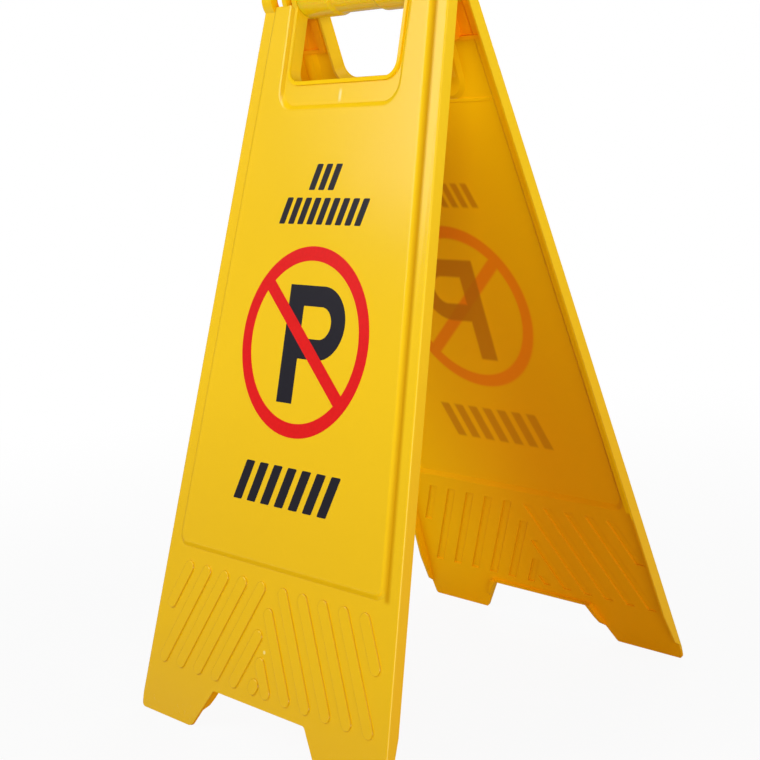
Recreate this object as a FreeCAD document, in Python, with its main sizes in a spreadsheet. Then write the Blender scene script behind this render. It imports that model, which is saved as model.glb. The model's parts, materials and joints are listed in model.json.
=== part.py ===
import FreeCAD, Part
import math
import os
import Sketcher
from FreeCAD import Placement, Rotation, Vector

# Folding parking sign: two moulded panels that lean together as an A-frame and turn
# on one thick carrying bar at the top.  Lengths are in mm and angles in degrees.
#
# Frame: X runs along the bar, the front panel stands on the -Y side, Z is up and the
# soles rest on Z = 0.  Each panel is drawn flat: x across the panel, y up its slope
# from the sole, z out of its printed face.  Its placement then leans it against the
# other one.  The rear panel is the same moulding turned half a turn about Z.

os.makedirs("parts", exist_ok=True)
doc = FreeCAD.newDocument("parking_sign")

SIZES = [
    # whole sign
    ("lean", "16.1", "lean of a panel from upright"),
    ("axis_height", "571", "height of the turning axis over the floor"),
    ("axis_setback", "11.2", "turning axis behind the base level of the printed face"),
    ("base_half", "150.7", "half the panel width at the floor"),
    ("taper", "0.0754", "loss of half width for each mm up the slope"),
    ("wall", "2.5", "thickness of the moulded wall"),
    ("skirt", "10", "depth of the turned back edge"),
    ("slant", "=(axis_height + axis_setback * sin(lean)) / cos(lean)", "sole to axis up the slope"),
    ("foot_reach", "=slant * sin(lean) + axis_setback * cos(lean)", "sole edge from the middle"),
    ("post_top", "=slant - 10", "upper end of the flat wall"),
    ("axis_half", "=base_half - taper * slant", "half width at the axis"),
    # foot
    ("foot_half", "147.9", "half width of the foot tips at the floor"),
    ("foot_height", "16", "height at which the side bends towards the foot tip"),
    ("foot_round", "4", "outer corner of the foot"),
    ("edge_round", "1.5", "rounding along the outer edge of the printed face"),
    ("heel_start", "15", "height at which the turned edges grow out of the foot"),
    ("heel_step", "20", "height of their first step"),
    ("heel_depth", "6.5", "depth of the turned edges at that step"),
    ("heel_end", "48", "height at which the side edge has its full depth"),
    ("notch_height", "34", "height of the notch between the feet"),
    ("notch_top", "56.5", "half width of the notch at its top"),
    ("notch_foot", "79.3", "half width of the notch at the floor"),
    ("notch_round", "4", "upper corners of the notch"),
    ("toe_round", "6", "inner corner of the foot"),
    ("notch_skirt", "5", "depth of the edge along the top of the notch"),
    ("notch_cheek", "7.3", "greatest depth of the edge along the sides of the notch"),
    # raised field
    ("field_rise", "2.5", "rise of the field over the base level"),
    ("field_run", "4", "width of its sloping border"),
    ("field_inset", "13.5", "border of the field from the panel edge"),
    ("field_foot", "141", "lower border of the field"),
    ("field_round", "10", "lower corners of the field"),
    ("field_shift", "0.7", "inset of the hollow behind the field"),
    ("hollow_drop", "7.5", "solid end of the posts over the hollow"),
    ("hollow_top", "=post_top - hollow_drop", "upper end of the hollow behind the field"),
    # handle opening
    ("hand_half", "62.5", "half width of the handle opening"),
    ("hand_drop", "62.5", "handle opening below the post tops"),
    ("hand_foot", "=post_top - hand_drop", "lower edge of the handle opening"),
    ("hand_round", "11.5", "lower corners of the handle opening"),
    ("bead_width", "3", "width of the bead round the handle opening"),
    ("bead_rise", "1.5", "height of that bead"),
    ("recess_half", "67", "half width of the low band round the opening"),
    ("recess_drop", "19", "height of that band below the opening"),
    ("recess_foot", "=hand_foot - recess_drop", "lower edge of that band"),
    ("recess_round", "15", "lower corners of that band"),
    ("recess_run", "3.5", "width of the slope round that band"),
    # cleat bars
    ("cleat_width", "10.9", "width of one cleat bar"),
    ("cleat_rise", "1.4", "height of the cleat bars"),
    ("cleat_slant", "0.54", "sideways run of a cleat bar for each mm of height"),
    ("cleat_start", "10.5", "middle line of the first cleat bar at the top"),
    ("cleat_pitch", "23.6", "spacing of the cleat bars"),
    ("cleat_head", "130.5", "upper ends of the cleat bars"),
    ("cleat_foot", "42.2", "lower ends of the cleat bars"),
    ("cleat_short", "87.8", "lower end of the outermost cleat bar"),
    ("cleat_sink", "1.4", "depth of the hollow behind each cleat bar"),
    ("cleat_slim", "7.5", "width of that hollow"),
    # hinge
    ("barrel", "17.6", "radius of the bar and of the hinge eyes"),
    ("waist", "15.8", "radius of the bar in its middle"),
    ("waist_half", "23.5", "half length of the waist"),
    ("waist_run", "3.5", "length of the shoulder beside the waist"),
    ("pin", "6", "radius of the bar's end pins"),
    ("pin_play", "0.06", "radial play of the pins in their eyes"),
    ("inner_eye", "5.5", "thickness of the inner eye"),
    ("outer_eye", "5", "thickness of the outer eye"),
    ("eye_space", "7", "space between the two eyes"),
    ("side_play", "0.3", "side play of the tongue and of the bar"),
    ("tongue", "12.5", "radius of the single eye between the two"),
    ("turn_room", "0.7", "room round the eyes of the other panel"),
    ("claw_width", "12", "width of the claw at the panel edge"),
    ("claw_bore", "10.5", "inner radius of the claw"),
    ("stop_gap", "0.03", "half the gap between the claws that stop the opening"),
    ("ridge", "3", "thickness of the cross ridge behind the posts"),
    ("ridge_drop", "38.5", "cross ridge below the post tops"),
    ("ridge_foot", "=post_top - ridge_drop", "lower side of the cross ridge"),
    ("ridge_depth", "4", "depth of the cross ridge"),
]

dims = doc.addObject("Spreadsheet::Sheet", "dims")
for row, (alias, value, note) in enumerate(SIZES, start=1):
    dims.set("A%d" % row, alias)
    dims.set("B%d" % row, value)
    dims.set("C%d" % row, note)
    dims.setAlias("B%d" % row, alias)
doc.recompute()


def words(text):
    """An expression in which every size is read from the spreadsheet."""
    out = text
    for alias, _value, _note in sorted(SIZES, key=lambda item: -len(item[0])):
        out = out.replace("[" + alias + "]", "dims." + alias)
    return out


def number(text):
    value = dims.evalExpression(words(text))
    return float(getattr(value, "Value", value))


def plane(body, role):
    for feature in body.Origin.OriginFeatures:
        if feature.Role == role:
            return feature
    raise RuntimeError("no plane " + role)


def new_sketch(body, label, role="XY_Plane", level="0"):
    """A sketch parallel to an origin plane; level is its distance from that plane."""
    sketch = body.newObject("Sketcher::SketchObject", label)
    sketch.AttachmentSupport = [(plane(body, role), "")]
    sketch.MapMode = "FlatFace"
    sketch.setExpression("AttachmentOffset.Base.z", words(level))
    return sketch


def fix(sketch, kind, *args):
    """Add one size to a sketch; its last argument is the expression that drives it."""
    text = args[-1]
    index = sketch.addConstraint(Sketcher.Constraint(kind, *args[:-1], number(text)))
    sketch.setExpression("Constraints[%d]" % index, words(text))


def pin_down(sketch, geo, pos, x, y):
    fix(sketch, "DistanceX", -1, 1, geo, pos, x)
    fix(sketch, "DistanceY", -1, 1, geo, pos, y)


def outline(sketch, corners):
    """Closed outline through corners (x, y, radius); the radius may be left out."""
    count = len(corners)
    points = [Vector(number(c[0]), number(c[1]), 0) for c in corners]
    radii = [number(c[2]) if len(c) > 2 else 0.0 for c in corners]
    starts = []
    ends = []
    arcs = []
    for i, point in enumerate(points):
        back = (points[i - 1] - point).normalize()
        ahead = (points[(i + 1) % count] - point).normalize()
        if not radii[i]:
            ends.append(point)
            starts.append(point)
            arcs.append(None)
            continue
        half = back.getAngle(ahead) / 2
        reach = radii[i] / math.tan(half)
        centre = point + (back + ahead).normalize() * (radii[i] / math.sin(half))
        first = point + back * reach
        last = point + ahead * reach
        middle = centre + (point - centre).normalize() * radii[i]
        ends.append(first)
        starts.append(last)
        arcs.append(Part.Arc(first, middle, last))
    lines = []
    for i in range(count):
        lines.append(sketch.addGeometry(Part.LineSegment(starts[i], ends[(i + 1) % count])))
    for i, corner in enumerate(corners):
        before = lines[i - 1]
        after = lines[i]
        if arcs[i] is None:
            sketch.addConstraint(Sketcher.Constraint("Coincident", before, 2, after, 1))
            pin_down(sketch, after, 1, corner[0], corner[1])
            continue
        arc = sketch.addGeometry(arcs[i])
        near = sketch.getPoint(arc, 1).distanceToPoint(ends[i]) < 1e-4
        first, last = (1, 2) if near else (2, 1)
        sketch.addConstraint(Sketcher.Constraint("Tangent", before, 2, arc, first))
        sketch.addConstraint(Sketcher.Constraint("Tangent", arc, last, after, 1))
        fix(sketch, "Radius", arc, corner[2])
        mark = sketch.addGeometry(Part.Point(points[i]), True)
        pin_down(sketch, mark, 1, corner[0], corner[1])
        sketch.addConstraint(Sketcher.Constraint("PointOnObject", mark, 1, before))
        sketch.addConstraint(Sketcher.Constraint("PointOnObject", mark, 1, after))


def cleat(sketch, head, foot):
    """One bar with fully round ends; head and foot are the centres of its ends."""
    a = Vector(number(head[0]), number(head[1]), 0)
    b = Vector(number(foot[0]), number(foot[1]), 0)
    radius = number("[cleat_width] / 2")
    along = (b - a).normalize()
    side = Vector(-along.y, along.x, 0) * radius
    left = sketch.addGeometry(Part.LineSegment(a + side, b + side))
    low = sketch.addGeometry(Part.Arc(b + side, b + along * radius, b - side))
    right = sketch.addGeometry(Part.LineSegment(b - side, a - side))
    high = sketch.addGeometry(Part.Arc(a - side, a - along * radius, a + side))
    ring = [left, low, right, high]
    for i, geo in enumerate(ring):
        after = ring[(i + 1) % 4]
        here = 2
        if sketch.getPoint(geo, 2).distanceToPoint(sketch.getPoint(after, 1)) > 1e-4:
            if sketch.getPoint(geo, 2).distanceToPoint(sketch.getPoint(after, 2)) > 1e-4:
                here = 1
        there = 1
        if sketch.getPoint(geo, here).distanceToPoint(sketch.getPoint(after, 1)) > 1e-4:
            there = 2
        sketch.addConstraint(Sketcher.Constraint("Tangent", geo, here, after, there))
    pin_down(sketch, high, 3, head[0], head[1])
    pin_down(sketch, low, 3, foot[0], foot[1])
    fix(sketch, "Radius", high, "[cleat_width] / 2")


def trough(sketch, head, foot):
    """Slanted hollow between two levels, centred on the line from head to foot."""
    wide = "[cleat_slim] / 2 * sqrt(1 + [cleat_slant] ^ 2)"
    side = {}
    for place, end in (("head", head), ("foot", foot)):
        side[place] = [("%s - %s" % (end[0], wide), end[1]), ("%s + %s" % (end[0], wide), end[1])]
    outline(sketch, side["foot"] + side["head"][::-1])


def pad(body, sketch, label, length, down=False):
    feature = body.newObject("PartDesign::Pad", label)
    feature.Profile = sketch
    feature.Reversed = down
    feature.setExpression("Length", words(length))
    sketch.Visibility = False
    return feature


def pocket(body, sketch, label, length, up=False):
    feature = body.newObject("PartDesign::Pocket", label)
    feature.Profile = sketch
    feature.Reversed = up
    feature.setExpression("Length", words(length))
    sketch.Visibility = False
    return feature


def loft(body, kind, label, low, high):
    feature = body.newObject("PartDesign::" + kind, label)
    feature.Profile = low
    feature.Sections = [high]
    feature.Ruled = True
    return feature


def mirrored(body, originals, label):
    doc.recompute()
    feature = body.newObject("PartDesign::Mirrored", label)
    feature.Originals = originals
    feature.MirrorPlane = (plane(body, "YZ_Plane"), "")
    body.Tip = feature
    return feature


def half_at(height):
    return "([base_half] - [taper] * (" + height + "))"


def both_sides(right):
    """Corners of a symmetric outline: the right half upwards, then the left downwards."""
    left = [("-(" + c[0] + ")",) + tuple(c[1:]) for c in reversed(right)]
    return right + left


def wall_corners():
    return both_sides([
        ("[notch_top]", "[notch_height]", "[notch_round]"),
        ("[notch_foot]", "0", "[toe_round]"),
        ("[foot_half]", "0", "[foot_round]"),
        (half_at("[foot_height]"), "[foot_height]"),
        (half_at("[post_top]"), "[post_top]"),
        ("[hand_half]", "[post_top]"),
        ("[hand_half]", "[hand_foot]", "[hand_round]"),
    ])


def field_corners(rise, shift, top):
    """Border of the raised field; rise runs from 0 at its foot to 1 at its crest."""
    out = "([field_inset] + [field_run] * %s + %s)" % (rise, shift)
    low = "([field_foot] + [field_run] * %s + %s)" % (rise, shift)
    side = "([recess_half] + [recess_run] * %s + %s)" % (rise, shift)
    sill = "([recess_foot] - [recess_run] * %s - %s)" % (rise, shift)
    return both_sides([
        ("(" + half_at(low) + " - " + out + ")", low, "([field_round] - 2 * %s)" % rise),
        ("(" + half_at(top) + " - " + out + ")", top),
        (side, top),
        (side, sill, "([recess_round] + 2 * %s)" % rise),
    ])


def band_corners(inner, outer, foot_gap):
    """U-shaped band round the handle opening between two distances from its edge."""
    grow = "([hand_half] + %s)"
    sink = "([hand_foot] - %s)"
    bend = "([hand_round] + %s)"
    far = both_sides([
        (grow % outer, "[post_top]"),
        (grow % outer, sink % outer, bend % outer),
    ])
    near = both_sides([
        (grow % inner, sink % inner, bend % inner),
        (grow % inner, "[post_top]"),
    ])
    return far[:2] + far[2:] + near[2:] + near[:2]


def eye_profile(body, label, level, radius, back):
    """Side view of a hinge eye with its root in the post; drawn across the axis."""
    sketch = new_sketch(body, label, "YZ_Plane", level)
    centre = Vector(number("[slant]"), number("-[axis_setback]"), 0)
    size = number(radius)
    rise_front = -centre.y
    rise_back = centre.y - number(back)
    front = Vector(centre.x - math.sqrt(size ** 2 - rise_front ** 2), 0, 0)
    rear = Vector(centre.x - math.sqrt(size ** 2 - rise_back ** 2), number(back), 0)
    root = number("[ridge_foot] + [ridge] / 2")
    far = centre + Vector(size, 0, 0)
    face = sketch.addGeometry(Part.LineSegment(Vector(root, 0, 0), front))
    ring = sketch.addGeometry(Part.Arc(front, far, rear))
    spine = sketch.addGeometry(Part.LineSegment(rear, Vector(root, rear.y, 0)))
    base = sketch.addGeometry(Part.LineSegment(Vector(root, rear.y, 0), Vector(root, 0, 0)))
    first, last = (1, 2)
    if sketch.getPoint(ring, 1).distanceToPoint(front) > 1e-4:
        first, last = (2, 1)
    sketch.addConstraint(Sketcher.Constraint("Coincident", face, 2, ring, first))
    sketch.addConstraint(Sketcher.Constraint("Coincident", ring, last, spine, 1))
    sketch.addConstraint(Sketcher.Constraint("Coincident", spine, 2, base, 1))
    sketch.addConstraint(Sketcher.Constraint("Coincident", base, 2, face, 1))
    pin_down(sketch, ring, 3, "[slant]", "-[axis_setback]")
    fix(sketch, "Radius", ring, radius)
    fix(sketch, "DistanceY", -1, 1, face, 2, "0")
    fix(sketch, "DistanceY", -1, 1, spine, 1, back)
    pin_down(sketch, face, 1, "[ridge_foot] + [ridge] / 2", "0")
    pin_down(sketch, base, 1, "[ridge_foot] + [ridge] / 2", back)
    return sketch


def disc(body, label, level, radius):
    sketch = new_sketch(body, label, "YZ_Plane", level)
    centre = Vector(number("[slant]"), number("-[axis_setback]"), 0)
    ring = sketch.addGeometry(Part.Circle(centre, Vector(0, 0, 1), number(radius)))
    pin_down(sketch, ring, 3, "[slant]", "-[axis_setback]")
    fix(sketch, "Radius", ring, radius)
    return sketch


def claw_profile(body, label, level):
    """Side view of the claw: an arch over the axis that ends just short of the middle."""
    sketch = new_sketch(body, label, "YZ_Plane", level)
    centre = Vector(number("[slant]"), number("-[axis_setback]"), 0)
    outer = number("[barrel]")
    inner = number("[claw_bore]")
    lean = math.radians(number("[lean]"))
    gap = number("[stop_gap]")
    up = Vector(math.cos(lean), math.sin(lean), 0)
    out = Vector(-math.sin(lean), math.cos(lean), 0)
    tip_out = centre + out * gap + up * math.sqrt(outer ** 2 - gap ** 2)
    tip_in = centre + out * gap + up * math.sqrt(inner ** 2 - gap ** 2)
    front = Vector(centre.x - math.sqrt(outer ** 2 - centre.y ** 2), 0, 0)
    heel = centre + Vector(-1, 1, 0) * (inner / math.sqrt(2))
    root = number("[post_top] - 12")
    over = centre + Vector(math.cos(1.4), math.sin(1.4), 0) * outer
    under = centre + Vector(math.cos(1.4), math.sin(1.4), 0) * inner
    face = sketch.addGeometry(Part.LineSegment(Vector(root, 0, 0), front))
    big = sketch.addGeometry(Part.Arc(front, over, tip_out))
    stop = sketch.addGeometry(Part.LineSegment(tip_out, tip_in))
    small = sketch.addGeometry(Part.Arc(tip_in, under, heel))
    back = sketch.addGeometry(Part.LineSegment(heel, Vector(root, heel.y, 0)))
    base = sketch.addGeometry(Part.LineSegment(Vector(root, heel.y, 0), Vector(root, 0, 0)))
    chain = [(face, None), (big, front), (stop, None), (small, tip_in), (back, None), (base, None)]
    ends = []
    for geo, start in chain:
        swap = start is not None and sketch.getPoint(geo, 1).distanceToPoint(start) > 1e-4
        ends.append((geo, 2, 1) if swap else (geo, 1, 2))
    for i, (geo, _first, last) in enumerate(ends):
        other, start, _end = ends[(i + 1) % len(ends)]
        sketch.addConstraint(Sketcher.Constraint("Coincident", geo, last, other, start))
    pin_down(sketch, big, 3, "[slant]", "-[axis_setback]")
    sketch.addConstraint(Sketcher.Constraint("Coincident", big, 3, small, 3))
    fix(sketch, "Radius", big, "[barrel]")
    fix(sketch, "Radius", small, "[claw_bore]")
    fix(sketch, "DistanceY", -1, 1, face, 2, "0")
    pin_down(sketch, face, 1, "[post_top] - 12", "0")
    fix(sketch, "DistanceX", -1, 1, back, 1, "[slant] - [claw_bore] / sqrt(2)")
    pin_down(sketch, base, 1, "[post_top] - 12", "-[axis_setback] + [claw_bore] / sqrt(2)")
    tip = "[slant] - [stop_gap] * sin([lean]) + sqrt([barrel] ^ 2 - [stop_gap] ^ 2) * cos([lean])"
    fix(sketch, "DistanceX", -1, 1, stop, 1, tip)
    tip = "[slant] - [stop_gap] * sin([lean]) + sqrt([claw_bore] ^ 2 - [stop_gap] ^ 2) * cos([lean])"
    fix(sketch, "DistanceX", -1, 1, stop, 2, tip)
    return sketch


def build_panel(label, placement):
    body = doc.addObject("PartDesign::Body", label)
    body.Label = label
    name = label + "_"

    # flat wall with the notch between the feet and the handle opening
    sketch = new_sketch(body, name + "wall_outline")
    outline(sketch, wall_corners())
    pad(body, sketch, name + "wall", "[wall]", down=True)

    # edge turned back along both sides, above the foot tips
    sketch = new_sketch(body, name + "edge_outline")
    outline(sketch, [
        (half_at("[foot_height]") + " - [wall]", "[heel_start] - 1"),
        (half_at("[foot_height]") + " - [wall] / 3", "[heel_start] - 1"),
        (half_at("[foot_height]"), "[foot_height]"),
        (half_at("[post_top]"), "[post_top]"),
        (half_at("[post_top]") + " - [wall]", "[post_top]"),
        (half_at("[foot_height]") + " - [wall]", "[foot_height]"),
    ])
    edge = pad(body, sketch, name + "edge", "[skirt]", down=True)
    mirrored(body, [edge], name + "edge_pair")

    # edge turned back round the handle opening
    sketch = new_sketch(body, name + "hand_edge_outline")
    outline(sketch, band_corners("0", "[wall]", "0"))
    pad(body, sketch, name + "hand_edge", "[skirt]", down=True)

    # edge turned back along the notch, deeper on its sides
    run = "(([notch_foot] - [notch_top]) / [notch_height])"
    at_heel = "([notch_foot] - " + run + " * ([heel_start] - 1))"
    wide = "([wall] * 1.25)"
    sketch = new_sketch(body, name + "notch_outline")
    right = [
        (at_heel + " + " + wide, "[heel_start] - 1"),
        ("[notch_top] + " + wide, "[notch_height] + [wall]", "[notch_round] + [wall]"),
    ]
    left = [
        ("[notch_top]", "[notch_height]", "[notch_round]"),
        (at_heel, "[heel_start] - 1"),
    ]
    whole = right + [("-(" + c[0] + ")",) + tuple(c[1:]) for c in reversed(right)]
    whole = whole + [("-(" + c[0] + ")",) + tuple(c[1:]) for c in reversed(left)] + left
    outline(sketch, whole)
    pad(body, sketch, name + "notch_edge", "[notch_skirt]", down=True)
    sketch = new_sketch(body, name + "cheek_outline")
    outline(sketch, [
        (at_heel, "[heel_start] - 1"),
        (at_heel + " + " + wide, "[heel_start] - 1"),
        ("[notch_top] + " + wide, "[notch_height] + [wall]"),
        ("[notch_top] - " + run + " * [wall]", "[notch_height] + [wall]"),
    ])
    cheek = pad(body, sketch, name + "cheek", "[notch_cheek]", down=True)
    mirrored(body, [cheek], name + "cheek_pair")

    # the turned edges run out towards the foot tips
    sketch = new_sketch(body, name + "heel_cut", "YZ_Plane")
    outline(sketch, [
        ("-1", "-[wall]"),
        ("-1", "-[skirt] - 1"),
        ("[heel_end]", "-[skirt] - 1"),
        ("[heel_end]", "-[skirt]"),
        ("[heel_step]", "-[heel_depth]"),
        ("[heel_start]", "-[wall]"),
    ])
    heel = pocket(body, sketch, name + "heel", "2 * [base_half] + 20")
    heel.Midplane = True

    # rounding along both outer edges of the printed face
    doc.recompute()
    names = []
    for index, line in enumerate(heel.Shape.Edges, start=1):
        ends = [vertex.Point for vertex in line.Vertexes]
        on_side = all(
            abs(abs(p.x) - number(half_at("%.9f" % p.y))) < 1e-4 and abs(p.z) < 1e-6 for p in ends)
        if on_side and abs(ends[0].y - ends[-1].y) > 100:
            names.append("Edge%d" % index)
    if len(names) != 2:
        raise RuntimeError("the two outer edges were not found")
    rounding = body.newObject("PartDesign::Fillet", name + "edge_rounding")
    rounding.Base = (heel, names)
    rounding.setExpression("Radius", words("[edge_round]"))

    # raised field and the matching hollow behind it
    low = new_sketch(body, name + "field_foot_line")
    outline(low, field_corners("0", "0", "[post_top]"))
    high = new_sketch(body, name + "field_crest_line", level="[field_rise]")
    outline(high, field_corners("1", "0", "[post_top]"))
    loft(body, "AdditiveLoft", name + "field", low, high)
    low = new_sketch(body, name + "hollow_rim", level="-[wall]")
    outline(low, field_corners("0", "[field_shift]", "[hollow_top]"))
    high = new_sketch(body, name + "hollow_floor", level="[field_rise] - [wall]")
    outline(high, field_corners("1", "[field_shift]", "[hollow_top]"))
    loft(body, "SubtractiveLoft", name + "hollow", low, high)

    # bead round the handle opening
    sketch = new_sketch(body, name + "bead_outline")
    outline(sketch, band_corners("0", "[bead_width]", "0"))
    pad(body, sketch, name + "bead", "[bead_rise]")

    # cleat bars: a mirrored outer set and an interlaced middle set
    middle = "([cleat_start] + [cleat_pitch] * %s + ([cleat_head] - (%s)) * [cleat_slant])"
    head = "([cleat_head] - [cleat_width] / 2)"
    foot = "([cleat_foot] + [cleat_width] / 2)"
    short = "([cleat_short] + [cleat_width] / 2)"
    sketch = new_sketch(body, name + "cleat_outlines")
    for place in range(5):
        end = short if place == 4 else foot
        cleat(sketch, (middle % (place, head), head), (middle % (place, end), end))
    cleats = pad(body, sketch, name + "cleats", "[cleat_rise]")
    mirrored(body, [cleats], name + "cleat_pair")
    sketch = new_sketch(body, name + "middle_cleat_outlines")
    for place, top, sign in ((-1, "106.5", ""), (-2, "67.5", ""), (-1, "88", "-"), (-2, "50", "-")):
        start = (sign + (middle % (place, top)), top)
        cleat(sketch, start, (sign + (middle % (place, foot)), foot))
    pad(body, sketch, name + "middle_cleats", "[cleat_rise]")

    # hollows behind the cleat bars
    head = "([cleat_head] - 2)"
    foot = "([cleat_foot] + 2)"
    short = "([cleat_short] + 2)"
    sketch = new_sketch(body, name + "trough_outlines", level="-[wall]")
    for place in range(5):
        end = short if place == 4 else foot
        trough(sketch, (middle % (place, head), head), (middle % (place, end), end))
    troughs = pocket(body, sketch, name + "troughs", "[cleat_sink]", up=True)
    mirrored(body, [troughs], name + "trough_pair")
    sketch = new_sketch(body, name + "middle_trough_outlines", level="-[wall]")
    for place, top, sign in ((-1, "106.5 + 3", ""), (-2, "67.5 + 3", ""), (-1, "88 + 3", "-"), (-2, "50 + 3", "-")):
        start = (sign + (middle % (place, top)), top)
        trough(sketch, start, (sign + (middle % (place, foot)), foot))
    pocket(body, sketch, name + "middle_troughs", "[cleat_sink]", up=True)

    # cross ridge behind each post
    sketch = new_sketch(body, name + "ridge_outline")
    outline(sketch, [
        ("[hand_half] + 1", "[ridge_foot]"),
        (half_at("[ridge_foot]") + " - 1", "[ridge_foot]"),
        (half_at("[ridge_foot]") + " - 1", "[ridge_foot] + [ridge]"),
        ("[hand_half] + 1", "[ridge_foot] + [ridge]"),
    ])
    ridge = pad(body, sketch, name + "ridge", "[ridge_depth]", down=True)
    mirrored(body, [ridge], name + "ridge_pair")

    # right side: room for the eyes of the other panel, then the single eye
    outer = "([hand_half] + [inner_eye] + [eye_space] + [outer_eye])"
    sketch = disc(body, name + "room_circle", outer + " + [side_play]", "[barrel] + [turn_room]")
    room = outer + " + [side_play] - [hand_half] + 1"
    pocket(body, sketch, name + "room", room)
    start = "[hand_half] + [inner_eye] + [side_play]"
    sketch = eye_profile(body, name + "tongue_profile", start, "[tongue]", "-[skirt]")
    pad(body, sketch, name + "tongue", "[eye_space] - 2 * [side_play]")

    # left side: the two eyes that hold the tongue between them
    start = "-([hand_half] + [inner_eye])"
    sketch = eye_profile(body, name + "inner_eye_profile", start, "[barrel]", "-[skirt]")
    pad(body, sketch, name + "inner_eye", "[inner_eye]")
    sketch = eye_profile(body, name + "outer_eye_profile", "-" + outer, "[barrel]", "-[skirt]")
    pad(body, sketch, name + "outer_eye", "[outer_eye]")

    # bores for the pins of the bar
    sketch = disc(body, name + "left_bore_circle", "-[hand_half] + 1", "[pin] + [pin_play]")
    pocket(body, sketch, name + "left_bore", outer + " - [hand_half] + 2")
    sketch = disc(body, name + "right_bore_circle", outer, "[pin] + [pin_play]")
    pocket(body, sketch, name + "right_bore", outer + " - [hand_half] + 1")

    # claws at both edges, which meet those of the other panel when the sign is open
    sketch = claw_profile(body, name + "claw_profile", "[axis_half] - [claw_width]")
    claw = pad(body, sketch, name + "claw", "[claw_width]")
    mirrored(body, [claw], name + "claw_pair")

    # flat soles
    sketch = new_sketch(body, name + "sole_cut", "YZ_Plane")
    outline(sketch, [
        ("0", "0"),
        ("8 * sin([lean])", "-8 * cos([lean])"),
        ("-8", "-8 * cos([lean])"),
        ("-8", "0"),
    ])
    sole = pocket(body, sketch, name + "sole", "2 * [base_half] + 20")
    sole.Midplane = True
    body.setExpression("Placement", words(placement))
    return body


def build_bar():
    """Carrying bar with a narrower grip in its middle and a pin at each end."""
    body = doc.addObject("PartDesign::Body", "handle_bar")
    body.Label = "handle_bar"
    sketch = new_sketch(body, "bar_profile", "XZ_Plane")
    reach = "([hand_half] - [side_play] / 2)"
    tip = "([hand_half] + [inner_eye] + [eye_space] + [outer_eye])"
    shoulder = "([waist_half] + [waist_run])"
    outline(sketch, both_sides([
        (tip, "0"),
        (tip, "[pin] - 1"),
        (tip + " - 1", "[pin]"),
        (reach, "[pin]"),
        (reach, "[barrel] - 0.8"),
        (reach + " - 0.8", "[barrel]"),
        (shoulder, "[barrel]"),
        ("[waist_half]", "[waist]"),
    ]))
    turn = body.newObject("PartDesign::Revolution", "bar")
    turn.Profile = sketch
    turn.ReferenceAxis = (sketch, ["H_Axis"])
    turn.Angle = 360
    sketch.Visibility = False
    body.setExpression("Placement", "placement(vector(0; 0; dims.axis_height); rotationz(0))")
    return body


front = "placement(vector(0; -[foot_reach]; 0); rotationx(90 - [lean]))"
rear = "placement(vector(0; [foot_reach]; 0); rotationz(180) * rotationx(90 - [lean]))"
pieces = [
    build_panel("front_panel", front),
    build_panel("rear_panel", rear),
    build_bar(),
]
doc.recompute()

for item in doc.Objects:
    state = getattr(item, "State", [])
    if "Invalid" in state or "Error" in state:
        raise RuntimeError("%s did not build: %s" % (item.Name, item.State))
for piece in pieces:
    shape = piece.Shape
    if shape.isNull() or not shape.isValid() or len(shape.Solids) != 1:
        raise RuntimeError(piece.Label + " is not one sound solid")
    shape.exportStep("parts/" + piece.Label + ".step")
    box = shape.BoundBox
    print(piece.Label, round(shape.Volume), [round(v, 2) for v in (
        box.XMin, box.XMax, box.YMin, box.YMax, box.ZMin, box.ZMax)])
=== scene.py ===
"""Folding parking sign: the moulded panels, the carrying bar, the printed marks and a studio."""

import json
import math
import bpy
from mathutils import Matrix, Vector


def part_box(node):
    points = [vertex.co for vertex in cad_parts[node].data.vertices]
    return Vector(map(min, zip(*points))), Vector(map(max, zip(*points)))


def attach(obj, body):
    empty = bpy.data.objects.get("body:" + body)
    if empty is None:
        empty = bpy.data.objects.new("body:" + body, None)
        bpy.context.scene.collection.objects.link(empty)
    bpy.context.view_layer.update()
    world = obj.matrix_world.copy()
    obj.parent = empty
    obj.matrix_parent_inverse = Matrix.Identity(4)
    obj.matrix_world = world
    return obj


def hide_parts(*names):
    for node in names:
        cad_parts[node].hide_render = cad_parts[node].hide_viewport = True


bl_info = {
    "name": "Folding parking sign",
    "version": (1, 0, 0),
    "blender": (4, 5, 0),
    "location": "View3D > Sidebar > Parking sign",
    "description": "Dresses the packed folding sign with moulded plastic, print and a studio",
    "category": "Object",
}

import bpy
from bpy.props import FloatProperty, FloatVectorProperty, IntProperty, PointerProperty
from mathutils import Matrix, Vector

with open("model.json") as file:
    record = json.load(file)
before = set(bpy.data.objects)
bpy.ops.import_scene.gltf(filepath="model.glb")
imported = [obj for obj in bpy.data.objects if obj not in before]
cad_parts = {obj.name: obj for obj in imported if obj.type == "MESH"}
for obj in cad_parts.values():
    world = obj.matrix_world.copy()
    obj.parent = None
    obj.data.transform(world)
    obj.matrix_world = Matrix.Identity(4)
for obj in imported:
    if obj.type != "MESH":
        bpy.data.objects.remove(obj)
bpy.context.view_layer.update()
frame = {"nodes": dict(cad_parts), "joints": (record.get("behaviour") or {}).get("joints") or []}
LEAN = math.radians(-frame["joints"][0]["range_deg"][0] / 2)
REACH = -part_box("front_panel")[0].y
MM = 0.001

# The two panels are one moulding: the rear one is the front one turned half round.
SIDES = {"front": 1, "rear": -1}

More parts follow.
